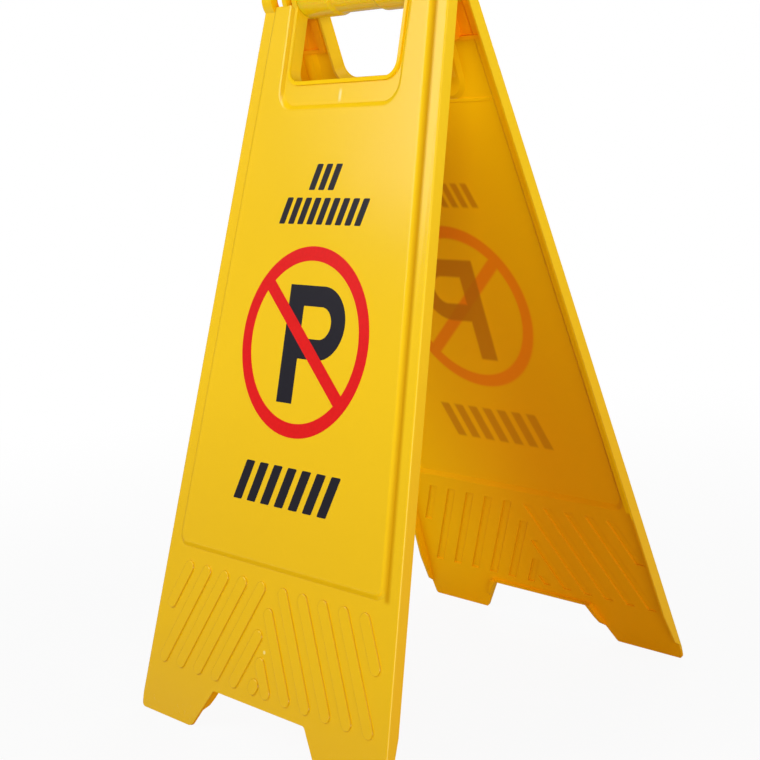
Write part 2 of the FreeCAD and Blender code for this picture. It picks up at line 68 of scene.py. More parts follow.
# A place on a panel is given by u across it, v up its slope from the sole and w out of its
# printed face. The sizes below are in millimetres, and w is 0 at the base level of the face.
TAPER = 0.0754  # loss of half width for each millimetre up the slope
PANEL_HALF = 150.7  # half the panel's width at the floor
WALL = 2.5  # thickness of the wall, which puts the inner side at -WALL
FIELD_RISE = 2.5
FIELD_FOOT = 141.0
FIELD_RUN = 4.0  # width of the field's sloping border
FIELD_ROUND = 10.0
FIELD_CORNER = (127.2, 151.0)  # middle of the field's rounded lower corners
BAND_CORNER = (52.0, 517.5)  # the same for the low band round the hand opening
BAND_ROUND = 15.0
BAND_RUN = 3.5
BAND_LEFT = -68.7  # slope at the left end of that band
BEAD_HALF = 65.5  # outer side of the bead round the opening
BEAD_FOOT = 522.0
CLEAT_RISE = 1.4
CLEAT_HEAD = 130.5  # upper ends of the cleat bars
CLEAT_SLANT = 0.54  # their sideways run for each millimetre of height
CLEAT_START = 10.5
CLEAT_PITCH = 23.6
RIB_HEIGHT = 501.2
RIB_SIZE = (186.0, 3.4)
RIB_LEVEL = -0.6
RIB_THICKNESS = 0.64
RIB_ROUND = 0.55
GATE = (1.5, 512.5)  # pale marks that the mould's gates leave
GATE_DOT_HEIGHT = 77.5

# The print: ends of the slash, bowl and stem of the letter, and the rows of slanted bars,
# each with its span across, its lowest and highest point, and the widths of bar and gap.
FACE = FIELD_RISE * MM
SLASH = ((-51.8, 365.6), (49.7, 276.6))
BOWL = (17.1, 335.1)
BOWL_RADIUS = 28.6
HOLE_RADIUS = 12.6
STEM = (-13.8, 317.4)
STEM_HALF = (9.2, 46.3)
STEM_DROP = 35.5  # how far the stem runs down below the bowl
BAR_SLANT = 0.36
BAR_ROUND = 1.1
BAR_ROWS = (
    ((-19.8, 13.9), (438.0, 458.5), (7.0, 4.2)),
    ((-50.9, 50.0), (411.0, 432.0), (7.0, 4.2)),
    ((-63.8, 56.0), (190.0, 222.0), (10.4, 6.7)),
)

# Borders of a panel that are rounded more than the rest: level w, lowest and highest v,
# greatest distance from the middle, a further test of (u, v, distance), radius and segments.
# The distance has the taper of the panel taken off. The hollow behind the field has its
# floor at level 0 too, so the rows for that level round both sides.
CLEAT_ZONE = (36.0, 138.0)
FIELD_ZONE = (138.0, 559.0)
PANEL_BORDERS = (
    # tops and feet of the cleat bars, and the troughs behind them
    (CLEAT_RISE, CLEAT_ZONE, math.inf, lambda u, v, away: True, 0.95, 4),
    (0.0, CLEAT_ZONE, 145.0, lambda u, v, away: True, 0.75, 3),
    (-WALL, (38.0, 138.0), 143.0, lambda u, v, away: abs(u) > 24 or v > 76, 1.0, 3),
    # crest and foot of the field's border
    (FIELD_RISE, FIELD_ZONE, math.inf, lambda u, v, away: True, 1.4, 4),
    (0.0, FIELD_ZONE, 139.5, lambda u, v, away: v < 143 or away > 135.5, 3.8, 6),
    # border and floor of the hollow behind the field
    (-WALL, FIELD_ZONE, 139.0, lambda u, v, away: not (abs(u) < 69 and v > 515), 2.2, 5),
    (0.0, (143.0, 559.0), 135.5, lambda u, v, away: not (abs(u) < 67 and v > 515), 2.2, 5),
)
SAME_LEVEL = 0.03
SHARP = math.radians(24)  # edges sharper than this are rounded


def leaning(side):
    """Matrix that takes a piece drawn flat (u, v, w) to its place on a panel."""
    sine, cosine = math.sin(LEAN), math.cos(LEAN)
    flat = Matrix((
        (1, 0, 0, 0),
        (0, sine, -cosine, -REACH),
        (0, cosine, sine, 0),
        (0, 0, 0, 1),
    ))
    if side == "rear":
        return Matrix.Rotation(math.pi, 4, "Z") @ flat
    return flat


# Shader maths


class Value:
    """One output of a shader node; arithmetic on it adds the Math nodes."""

    def __init__(self, board, socket):
        self.board = board
        self.socket = socket

    def maths(self, operation, *terms):
        return self.board.node("ShaderNodeMath", {"operation": operation}, terms)

    def __add__(self, other):
        return self.maths("ADD", self, other)

    __radd__ = __add__

    def __sub__(self, other):
        return self.maths("SUBTRACT", self, other)

    def __rsub__(self, other):
        return self.maths("SUBTRACT", other, self)

    def __mul__(self, other):
        return self.maths("MULTIPLY", self, other)

    __rmul__ = __mul__

    def __truediv__(self, other):
        return self.maths("DIVIDE", self, other)

    def __rtruediv__(self, other):
        return self.maths("DIVIDE", other, self)

    def __abs__(self):
        return self.maths("ABSOLUTE", self)

    def over(self, other):
        """The greater of two values."""
        return self.maths("MAXIMUM", self, other)

    def root(self):
        return self.maths("SQRT", self)

    def sign(self):
        return self.maths("SIGN", self)

    def rest(self):
        """What is left over the next whole number down."""
        return self - self.maths("FLOOR", self)

    def rise(self, low, high):
        """0 below low, 1 above high, and a smooth slope between them; high may be the lower."""
        return self.board.node(
            "ShaderNodeMapRange",
            {"interpolation_type": "SMOOTHSTEP"},
            {"Value": self, "From Min": low, "From Max": high},
        )


class Board:
    """The node tree of one material or of the world."""

    def __init__(self, owner):
        self.owner = owner
        owner.use_nodes = True
        self.tree = owner.node_tree
        self.tree.nodes.clear()

    def node(self, kind, settings=None, inputs=(), output=0):
        """Add a node: its settings first, then its inputs, a list by place or a dict by name."""
        made = self.tree.nodes.new(kind)
        for key, value in (settings or {}).items():
            setattr(made, key, value)
        for key, value in inputs.items() if isinstance(inputs, dict) else enumerate(inputs):
            socket = made.inputs[key]
            if isinstance(value, Value):
                self.tree.links.new(value.socket, socket)
            elif socket.type == "RGBA":
                socket.default_value = (*value, 1.0)
            else:
                socket.default_value = value
        return Value(self, made.outputs[output]) if made.outputs else None

    def place(self):
        """Object coordinates: the vector itself, and its three parts in millimetres."""
        spot = self.node("ShaderNodeTexCoord", output="Object")
        parts = self.node("ShaderNodeSeparateXYZ", None, [spot]).socket.node.outputs
        return spot, [Value(self, part) * (1 / MM) for part in parts]

    def noise(self, spot, scale, detail=2.0, roughness=0.5):
        return self.node(
            "ShaderNodeTexNoise",
            {"noise_dimensions": "3D"},
            {"Vector": spot, "Scale": scale, "Detail": detail, "Roughness": roughness},
        )

    def blend(self, factor, first, second):
        """Mix two colours; each is a colour or the output of another mix."""
        return self.node(
            "ShaderNodeMix", {"data_type": "RGBA"}, {0: factor, 6: first, 7: second}, output=2)

    def bump(self, strength, distance, height):
        """Normal of a surface whose height varies, in units of distance."""
        return self.node(
            "ShaderNodeBump", None,
            {"Strength": strength, "Distance": distance, "Height": height})

    def surface(self, colour, roughness, normal=None, **sockets):
        sockets.update({"Base Color": colour, "Roughness": roughness})
        if normal is not None:
            sockets["Normal"] = normal
        return self.node("ShaderNodeBsdfPrincipled", None, sockets)

    def join(self, factor, first, second):
        """Go from one surface to another where the factor rises from 0 to 1."""
        return self.node("ShaderNodeMixShader", None, [factor, first, second])

    def close(self, surface, kind="ShaderNodeOutputMaterial"):
        """Give the surface to the output, and return the finished material or world."""
        self.node(kind, None, [surface])
        return self.owner


def straight(colour):
    """Screen colour 0 to 1 as the linear colour the shader wants."""
    return tuple(c / 12.92 if c <= 0.04045 else ((c + 0.055) / 1.055) ** 2.4 for c in colour)


def shade(colour, factor, lift=0.0):
    """A darker or paler copy of a linear colour."""
    return tuple(min(1.0, c * factor + lift) for c in colour)


def stripe(along, middle, half, soft):
    """1 within half of middle, 0 outside, with a soft border."""
    return abs(along - middle).rise(half + soft, half - soft)


def distance(across, along):
    return (across * across + along * along).root()


def corner(across, along):
    """Distance from the middle of a rounded corner, counted only past that middle."""
    return distance(across.over(0.0), along.over(0.0))


# What lies where on a panel, as soft masks from 0 to 1


def bars_mask(u, v, row, soft):
    """One row of slanted bars."""
    (left, right), (low, high), (bar, gap) = row
    lean = (v - low) * BAR_SLANT
    step = ((u - left - lean) / (bar + gap)).rest()
    mask = stripe(step * (bar + gap), bar / 2 + gap / 2, bar / 2, soft)
    mask = mask * stripe(u - lean, (left + right) / 2, (right - left) / 2, soft)
    return mask * stripe(v, (low + high) / 2, (high - low) / 2, soft)


def print_masks(u, v, marks, soft):
    """Ring with its slash, letter, and bars."""
    width = marks.ring_width / MM
    away = distance(u, v - marks.ring_height / MM)
    ring = stripe(away, marks.ring_radius / MM - width / 2, width / 2, soft)
    (ax, ay), (bx, by) = SLASH
    length = math.hypot(bx - ax, by - ay)
    dx, dy = (bx - ax) / length, (by - ay) / length
    across = (u - ax) * dy - (v - ay) * dx
    along = (u - (ax + bx) / 2) * dx + (v - (ay + by) / 2) * dy
    slash = stripe(across, 0.0, width / 2, soft) * stripe(along, 0.0, length / 2, soft)

    stem = stripe(u, STEM[0], STEM_HALF[0], soft) * stripe(v, STEM[1], STEM_HALF[1], soft)
    stem_left = STEM[0] - STEM_HALF[0]
    bow = distance((u - BOWL[0]).over(0.0), v - BOWL[1])
    bowl = bow.rise(BOWL_RADIUS + soft, BOWL_RADIUS - soft)
    bowl = bowl * bow.rise(HOLE_RADIUS - soft, HOLE_RADIUS + soft)
    bowl = bowl * u.rise(stem_left - soft, stem_left + soft)

    bars, *others = (bars_mask(u, v, row, soft) for row in BAR_ROWS)
    for other in others:
        bars = bars.over(other)
    return ring.over(slash), stem.over(bowl), bars


def field_mask(u, v, away):
    """The raised field: 0 at the foot of its sloping border and 1 at the crest."""
    field = corner(away - FIELD_CORNER[0], FIELD_CORNER[1] - v)
    field = field.rise(FIELD_ROUND, FIELD_ROUND - FIELD_RUN) * v.rise(579.0, 573.0)
    band = corner(abs(u) - BAND_CORNER[0], BAND_CORNER[1] - v)
    return field * (1.0 - band.rise(BAND_ROUND + BAND_RUN, BAND_ROUND))


def hidden_mask(u, v, w, away, field):
    """All that lies behind the printed face, apart from the bead round the opening."""
    flank = away.rise(PANEL_HALF - 0.6, PANEL_HALF - 1.4)
    mouth = abs(u).rise(BEAD_HALF, BEAD_HALF - 1.0) * v.rise(BEAD_FOOT - 3.0, BEAD_FOOT)
    return (w - field * FIELD_RISE).rise(-0.5, -0.9) * flank * (1.0 - mouth)


def cleat_shade_mask(u, v, w):
    """Where painted shade goes on the sides of the cleat bars, more on the right-hand ones."""
    row = ((abs(u) - (CLEAT_HEAD - v) * CLEAT_SLANT) - CLEAT_START) / CLEAT_PITCH + 0.5
    # 0 on the middle line of a bar and positive to the right of it
    beside = (row.rest() - 0.5) * u.sign()
    sides = v.rise(FIELD_FOOT - 1.0, FIELD_FOOT - 4.0)
    sides = sides * w.rise(CLEAT_RISE - 0.02, CLEAT_RISE - 0.3)
    return sides * (beside.rise(0.05, 0.2) * 0.6 + 0.12)


def border_masks(u, v, w, slope, hidden):
    """The field's sloping border: where it faces left or down, and where it faces right, which
    also takes painted shade.
    """
    right_edge = u + v * TAPER
    below_crest = w.rise(FIELD_RISE - 0.02, FIELD_RISE - 0.4)
    left = slope * below_crest * v.rise(FIELD_FOOT - 2.0, FIELD_FOOT) * v.rise(545.0, 530.0)
    beside_band = stripe(u, BAND_LEFT, 5.0, 1.0) * v.rise(440.0, 450.0)
    left = left * right_edge.rise(131.0, 128.0) * (1.0 - beside_band)
    right = stripe(right_edge, 138.0, 2.4, 2.2) * v.rise(FIELD_FOOT - 2.0, FIELD_FOOT + 2.0)
    return left, right * below_crest * (1.0 - hidden)


# Materials


def outer_colour(board, cloud, v, tint):
    """Plastic of the outer side, with painted shade that darkens it towards the floor."""
    plastic = straight(tint.outer)
    colour = board.blend(cloud, shade(plastic, 0.955), shade(plastic, 1.03))
    # painted shade: deeper towards the floor, and deeper still near the soles
    colour = board.blend(v.rise(330.0, 90.0) * 0.8, colour, straight(tint.lower))
    return board.blend(v.rise(110.0, -20.0) * 0.3, colour, straight(tint.painted_shade))


def inner_colour(board, u, v, w, away, tint):
    """Plastic of the inner side, with painted light and shade: darker towards the floor, paler
    towards one side and on the strip beside its hollow, deeper at its top, and painted shade in
    its grooves.
    """
    # painted shade: the inner side darkens towards the floor
    colour = board.blend(v.rise(560.0, 120.0), straight(tint.inner), straight(tint.inner_low_shade))
    # painted light: paler towards one side, and on the strip beside the hollow, lifting the
    # shade of the turned edge
    side = u.rise(-60.0, 135.0) * v.rise(-80.0, 100.0)
    colour = board.blend(side, colour, straight(tint.inner_side_light))
    strip = away.rise(136.0, 138.0) * w.rise(-1.9, -2.3)
    strip = strip * v.rise(FIELD_FOOT - 2.0, FIELD_FOOT + 2.0)
    colour = board.blend(strip, colour, straight(tint.inner_side_light))
    # painted shade: deeper orange at the top, round the posts
    colour = board.blend(v.rise(545.0, 553.0), colour, straight(tint.inner_top_shade))
    # painted shade on the groove walls behind the cleat bars and on the ledge along the hollow's
    # lower border
    floor, crest = -WALL, CLEAT_RISE - WALL
    groove_shade = v.rise(FIELD_FOOT - 1.0, FIELD_FOOT - 4.0)
    groove_shade = groove_shade * w.rise(floor + 0.02, floor + 0.25) * w.rise(crest - 0.02, crest - 0.25)
    ledge = stripe(v, 143.7, 2.0, 1.2) * w.rise(floor + 0.01, floor + 0.2)
    return board.blend((groove_shade * 0.25).over(ledge * 0.2), colour, straight(tint.groove_shade))


def panel_plastic(side, tint, marks):
    """Moulded plastic of one panel, with painted light and shade, and the print showing faintly
    through its wall as a painted shadow.
    """
    board = Board(bpy.data.materials.new("moulded_plastic_" + side))
    spot, (x, y, z) = board.place()
    u = x * SIDES[side]
    out = y * SIDES[side] + REACH / MM
    v = out * math.sin(LEAN) + z * math.cos(LEAN)
    w = z * math.sin(LEAN) - out * math.cos(LEAN)
    away = abs(u) + v * TAPER
    field = field_mask(u, v, away)
    hidden = hidden_mask(u, v, w, away, field)
    cloud = board.noise(spot, 7.0)
    fine = board.noise(spot, 60.0, 3.0)
    colour = outer_colour(board, cloud, v, tint)

    # painted shade: the small slopes of the printed face, the sides of the cleat bars and the
    # field's right-hand border are darkened
    slope = w.rise(0.05, 0.3) * (1.0 - hidden)
    left, right = border_masks(u, v, w, slope, hidden)
    steep = w.rise(FIELD_RISE - 0.02, FIELD_RISE - 0.3)
    inlet = stripe(u, BAND_LEFT, 1.6, 0.6) * v.rise(500.0, 504.0) * steep * 0.4
    foot = stripe(v, FIELD_FOOT + FIELD_RUN / 2, 1.9, 0.5) * steep * 0.12
    painted_shade = (slope * inlet.over(foot).over(cleat_shade_mask(u, v, w))).over(right * 0.88)
    colour = board.blend(painted_shade, colour, straight(tint.painted_shade))
    # painted shade: the turned back edges darken towards the floor
    skirt_shade = w.rise(-0.8, -2.0) * v.rise(560.0, 180.0)
    colour = board.blend(skirt_shade * 0.5, colour, straight(tint.skirt_shade))
    colour = board.blend(hidden, colour, inner_colour(board, u, v, w, away, tint))

    # painted show-through: the print of the outer side, seen through the wall as the shadow it
    # casts in the light passing through
    ring, letter, bars = print_masks(u, v, marks, 1.6)
    ghost = field * hidden * marks.ghost
    colour = board.blend(ghost * ring, colour, straight(tint.ghost_red))
    colour = board.blend(ghost * letter, colour, straight(tint.ghost_black))
    colour = board.blend(ghost * bars * 0.8, colour, straight(tint.ghost_black))

    # gate marks, a short pale smear under the opening and a dot between the cleat bars: a slight
    # bump, with a pale colour that is a painted highlight
    outside = w.rise(-1.0, -0.4)
    smear = stripe(u, GATE[0], 1.3, 1.1) * stripe(v, GATE[1], 4.0, 2.5) * outside
    pale = smear.over(distance(u, v - GATE_DOT_HEIGHT).rise(1.9, 0.6) * outside)
    colour = board.blend(pale * 0.75, colour, straight(tint.pale))

    # faint scuffs on the soles
    scuff = v.rise(26.0, 2.0) * board.noise(spot, 240.0, 4.0, 0.7).rise(0.52, 0.72)
    colour = board.blend(scuff * 0.12, colour, straight(tint.scuff))

    rough = cloud * 0.05 + fine * 0.04 + (tint.roughness - 0.045) + scuff * 0.2
    rough = rough + w.rise(0.0, -0.8) * 0.2
    grain = board.noise(spot, 1400.0)
    swell = board.noise(spot, 16.0, 1.0)
    normal = board.bump(0.35, 0.06 * MM, grain * 0.25 + swell * 9.0 + pale * 4.0 + scuff * 0.6)
    satin = board.surface(colour, rough, normal, **{"IOR": 1.42})
    matte = board.surface(colour, 0.6, normal, **{"Specular IOR Level": 0.05})
    return board.close(board.join(hidden.over(left).over(right), satin, matte))


def bar_plastic(tint):
    """Plastic of the carrying bar, with the seam of its mould halves and a worn grip."""
    board = Board(bpy.data.materials.new("bar_plastic"))
    spot, (x, y, _z) = board.place()
    plastic = straight(tint.outer)
    cloud = board.noise(spot, 14.0)
    colour = board.blend(cloud, shade(plastic, 0.95), shade(plastic, 1.02))
    seam = stripe(y, 0.0, 0.35, 0.25)
    worn = abs(x).rise(26.0, 14.0) * board.noise(spot, 90.0, 3.0).rise(0.45, 0.7)
    rough = cloud * 0.1 + (tint.roughness - 0.03) - worn * 0.08 + seam * 0.1
    grain = board.noise(spot, 1400.0)
    normal = board.bump(0.35, 0.06 * MM, grain * 0.25 + seam * 2.5)
    return board.close(board.surface(colour, rough, normal, **{
        "IOR": 1.42,
        "Subsurface Weight": 0.8,
        "Subsurface Radius": (1.0, 0.6, 0.1),
        "Subsurface Scale": 0.012,
    }))


def print_ink(name, tone, roughness):
    """Screen-printed ink: even, slightly glossy, with a fine mottle."""
    board = Board(bpy.data.materials.new(name))
    spot, _parts = board.place()
    mottle = board.noise(spot, 380.0, 3.0, 0.65)
    broad = board.noise(spot, 20.0, 1.0)
    ink = straight(tone)
    colour = board.blend(mottle, shade(ink, 0.86), shade(ink, 1.12, 0.002))
    colour = board.blend(broad * 0.3, colour, shade(ink, 1.2, 0.002))
    rough = mottle * 0.1 + (roughness - 0.05)
    normal = board.bump(0.25, 0.03 * MM, mottle)
    return board.close(board.surface(
        colour, rough, normal, **{"IOR": 1.46, "Specular IOR Level": 0.25}))


# Modelling


def clear_selection():
    if bpy.context.object and bpy.context.object.mode != "OBJECT":
        bpy.ops.object.mode_set(mode="OBJECT")
    bpy.ops.object.select_all(action="DESELECT")


def take(piece):
    clear_selection()
    piece.select_set(True)
    bpy.context.view_layer.objects.active = piece


def let_go(mesh):
    """Deselect every part of a mesh."""
    for group in (mesh.vertices, mesh.edges, mesh.polygons):
        for part in group:
            part.select = False


def ends(mesh, edge):
    return [mesh.vertices[index].co for index in edge.vertices]


def pick_vertices(piece, test):
    """Select in edit mode the vertices whose place passes the test."""
    bpy.ops.object.mode_set(mode="OBJECT")
    let_go(piece.data)
    for vertex in piece.data.vertices:
        vertex.select = test(vertex.co)
    bpy.ops.object.mode_set(mode="EDIT")
    bpy.ops.mesh.select_mode(type="VERT")


def pick_edges(piece, test):
    """Select in edit mode the edges whose middle and direction pass the test."""
    bpy.ops.object.mode_set(mode="OBJECT")
    let_go(piece.data)
    for edge in piece.data.edges:
        a, b = ends(piece.data, edge)
        edge.select = test((a + b) / 2, (b - a).normalized())
    bpy.ops.object.mode_set(mode="EDIT")
    bpy.ops.mesh.select_mode(type="EDGE")


def extrude(x, y, z):
    bpy.ops.mesh.extrude_region_move(TRANSFORM_OT_translate={"value": (x, y, z)})


def thicken(thickness):
    """Raise the flat outline in edit mode into a thin layer with its faces outwards."""
    bpy.ops.mesh.select_all(action="SELECT")
    extrude(0, 0, thickness)
    bpy.ops.mesh.select_all(action="SELECT")
    bpy.ops.mesh.remove_doubles(threshold=1e-6)
    bpy.ops.mesh.normals_make_consistent(inside=False)


def settle(piece, side, name, material):
    """Name a flat piece, lay it on its panel with its place in the mesh, and let it ride."""
    bpy.ops.object.mode_set(mode="OBJECT")
    piece.name = side + "_" + name
    piece.data.name = piece.name
    take(piece)
    bpy.ops.object.transform_apply(location=True, rotation=True, scale=True)
    piece.matrix_world = leaning(side)
    bpy.ops.object.transform_apply(location=True, rotation=True, scale=True)
    piece.data.materials.clear()
    piece.data.materials.append(material)
    bpy.ops.object.shade_smooth_by_angle(angle=math.radians(35))
    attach(piece, side)


def on_border(border, u, v, w):
    """Whether a place lies on one row of PANEL_BORDERS."""
    level, (low, high), outermost, further, _radius, _segments = border
    away = abs(u) + v * TAPER
    return (abs(w - level) < SAME_LEVEL and low < v < high and away < outermost
            and further(u, v, away))


def soften(shell, side, border):
    """Round the sharp edges of a panel that lie on one of its borders."""
    *_test, radius, segments = border
    flat = leaning(side).inverted()
    bpy.ops.object.mode_set(mode="EDIT")
    bpy.ops.mesh.select_mode(type="EDGE")
    bpy.ops.mesh.select_all(action="DESELECT")
    bpy.ops.mesh.edges_select_sharp(sharpness=SHARP)
    bpy.ops.object.mode_set(mode="OBJECT")
    mesh = shell.data
    wanted = []
    for edge in mesh.edges:
        if edge.select:
            a, b = ends(mesh, edge)
            if on_border(border, *(flat @ ((a + b) / 2) / MM)):
                wanted.append(edge.index)
    let_go(mesh)
    for index in wanted:
        mesh.edges[index].select = True
    bpy.ops.object.mode_set(mode="EDIT")
    bpy.ops.mesh.select_mode(type="EDGE")
    bpy.ops.mesh.bevel(
        offset=radius * MM, segments=segments, affect="EDGES", clamp_overlap=True)
    bpy.ops.object.mode_set(mode="OBJECT")


def moulded_copy(node, name, body, material, soft, borders=()):
    """A merged copy of a CAD node with softened edges, shown in place of the node."""
    shell = bpy.data.objects.new(name, frame["nodes"][node].data.copy())
    shell.data.name = name
    bpy.context.scene.collection.objects.link(shell)
    take(shell)
    bpy.ops.object.mode_set(mode="EDIT")
    bpy.ops.mesh.select_all(action="SELECT")
    bpy.ops.mesh.remove_doubles(threshold=2e-6)
    bpy.ops.mesh.dissolve_limited(angle_limit=math.radians(0.4))
    bpy.ops.object.mode_set(mode="OBJECT")
    for border in borders:
        soften(shell, body, border)
    bevel = shell.modifiers.new("soft_edges", "BEVEL")
    bevel.width = soft
    bevel.segments = 2
    bevel.limit_method = "ANGLE"
    bevel.angle_limit = SHARP
    bevel.harden_normals = False
    bpy.ops.object.modifier_apply(modifier=bevel.name)
    shell.data.materials.clear()
    shell.data.materials.append(material)
    bpy.ops.object.shade_smooth_by_angle(angle=math.radians(32))
    even = shell.modifiers.new("even_faces", "WEIGHTED_NORMAL")
    even.weight = 100
    even.keep_sharp = True
    bpy.ops.object.modifier_apply(modifier=even.name)
    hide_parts(node)
    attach(shell, body)


# Settings


class ParkingSignTint(bpy.types.PropertyGroup):
    outer: FloatVectorProperty(
        name="Plastic", description="Colour of the moulded plastic",
        subtype="COLOR_GAMMA", size=3, default=(0.985, 0.80, 0.04))
    lower: FloatVectorProperty(
        name="Lower plastic", description="Colour low on the panels",
        subtype="COLOR_GAMMA", size=3, default=(0.925, 0.73, 0.02))
    # painted shade: the inner side is given deeper colours than the outer plastic
    inner: FloatVectorProperty(
        name="Inside", description="Colour of the inner side, near the top",
        subtype="COLOR_GAMMA", size=3, default=(0.965, 0.765, 0.0))
    # painted shade near the floor on the inner side
    inner_low_shade: FloatVectorProperty(
        name="Inside, low", description="Colour of the inner side, near the floor",
        subtype="COLOR_GAMMA", size=3, default=(0.92, 0.62, 0.0))
    # painted light beside the inner side's edges
    inner_side_light: FloatVectorProperty(
        name="Inside, side", description="Colour of the inner side beside its edges",
        subtype="COLOR_GAMMA", size=3, default=(1.0, 0.77, 0.0))
    # painted shade at the posts on the inner side
    inner_top_shade: FloatVectorProperty(
        name="Inside, top", description="Colour of the inner side at the posts",
        subtype="COLOR_GAMMA", size=3, default=(1.0, 0.68, 0.02))
    # painted shade low on the turned back edges
    skirt_shade: FloatVectorProperty(
        name="Turned edges, low", description="Colour low on the turned back edges",
        subtype="COLOR_GAMMA", size=3, default=(0.95, 0.68, 0.0))
    # painted shade on the groove walls inside
    groove_shade: FloatVectorProperty(
        name="Grooves", description="Colour of the groove walls inside",
        subtype="COLOR_GAMMA", size=3, default=(0.78, 0.44, 0.0))
    # painted shade on the small slopes, the sides of the cleat bars and near the soles
    painted_shade: FloatVectorProperty(
        name="Creases", description="Deeper colour on the small slopes of the mould",
        subtype="COLOR_GAMMA", size=3, default=(0.80, 0.57, 0.0))
    # the gate marks' pale colour is a painted highlight
    pale: FloatVectorProperty(
        name="Gate mark", description="Colour of the marks left by the mould's gates",
        subtype="COLOR_GAMMA", size=3, default=(1.0, 0.93, 0.62))
    scuff: FloatVectorProperty(
        name="Scuffs", description="Colour of the scuffs on the soles",
        subtype="COLOR_GAMMA", size=3, default=(0.70, 0.52, 0.10))
    # painted show-through: the print's shadow in light passing through the wall
    ghost_red: FloatVectorProperty(
        name="Red, through the wall", description="Red print seen through the wall",
        subtype="COLOR_GAMMA", size=3, default=(0.93, 0.49, 0.03))
    ghost_black: FloatVectorProperty(
        name="Black, through the wall", description="Black print seen through the wall",
        subtype="COLOR_GAMMA", size=3, default=(0.75, 0.46, 0.02))
    roughness: FloatProperty(
        name="Roughness", description="Roughness of the plastic",
        subtype="FACTOR", min=0.0, max=1.0, default=0.2)
    soft_edge: FloatProperty(
        name="Edge rounding", description="Width of the softened edges",
        subtype="DISTANCE", unit="LENGTH", min=0.0, default=0.5 * MM)


class ParkingSignMarks(bpy.types.PropertyGroup):
    ring_radius: FloatProperty(
        name="Ring radius", description="Outer radius of the red ring",
        subtype="DISTANCE", unit="LENGTH", default=74.7 * MM)
    ring_width: FloatProperty(
        name="Ring width", description="Width of the red ring and slash",
        subtype="DISTANCE", unit="LENGTH", default=11.2 * MM)
    ring_height: FloatProperty(
        name="Ring height", description="Middle of the ring up the slope",
        subtype="DISTANCE", unit="LENGTH", default=319.5 * MM)
    ink: FloatProperty(
        name="Ink thickness", description="Height of the print over the plastic",
        subtype="DISTANCE", unit="LENGTH", default=0.12 * MM)
    # strength of the painted show-through, the print's shadow in light passing through the wall
    ghost: FloatProperty(
        name="Show-through", description="How strongly the print shows inside",
        subtype="FACTOR", min=0.0, max=1.0, default=0.85)
    steps: IntProperty(
        name="Ring steps", description="Straight pieces round the ring",
        min=24, default=96)
    red: FloatVectorProperty(
        name="Red ink", description="Colour of ring and slash",
        subtype="COLOR_GAMMA", size=3, default=(0.89, 0.04, 0.04))
    black: FloatVectorProperty(
        name="Black ink", description="Colour of letter and bars",
        subtype="COLOR_GAMMA", size=3, default=(0.10, 0.09, 0.13))


class ParkingSignStudio(bpy.types.PropertyGroup):
    camera_place: FloatVectorProperty(
        name="Camera place", description="Where the camera stands",
        subtype="TRANSLATION", unit="LENGTH", size=3,
        default=(0.9319142, -0.8493710, 0.5090499))
    camera_turn: FloatVectorProperty(
        name="Camera turn", description="How the camera is turned",
        subtype="EULER", size=3,
        default=tuple(math.radians(a) for a in (78.8680057, 4.2244472, 47.2849141)))
    lens: FloatProperty(
        name="Lens", description="Focal length on a 36 mm wide sensor",
        min=10.0, default=74.638)
    key: FloatProperty(
        name="Key light", description="Power of the key light",
        subtype="POWER", unit="POWER", default=16.5)
    fill: FloatProperty(
        name="Fill light", description="Power of the fill light",
        subtype="POWER", unit="POWER", default=50.0)
    side: FloatProperty(
        name="Side light", description="Power of the light from the right",
        subtype="POWER", unit="POWER", default=8.0)
    back: FloatProperty(
        name="Back light", description="Power of the light from behind",
        subtype="POWER", unit="POWER", default=20.0)
    room: FloatProperty(
        name="Room light", description="Strength of the even light around",
        min=0.0, default=0.28)
    white: FloatProperty(
        name="White floor", description="How far the camera sees the floor as white",
        subtype="FACTOR", min=0.0, max=1.0, default=0.93)


class ParkingSignSettings(bpy.types.PropertyGroup):
    tint: PointerProperty(type=ParkingSignTint)
    marks: PointerProperty(type=ParkingSignMarks)
    studio: PointerProperty(type=ParkingSignStudio)


# Operators


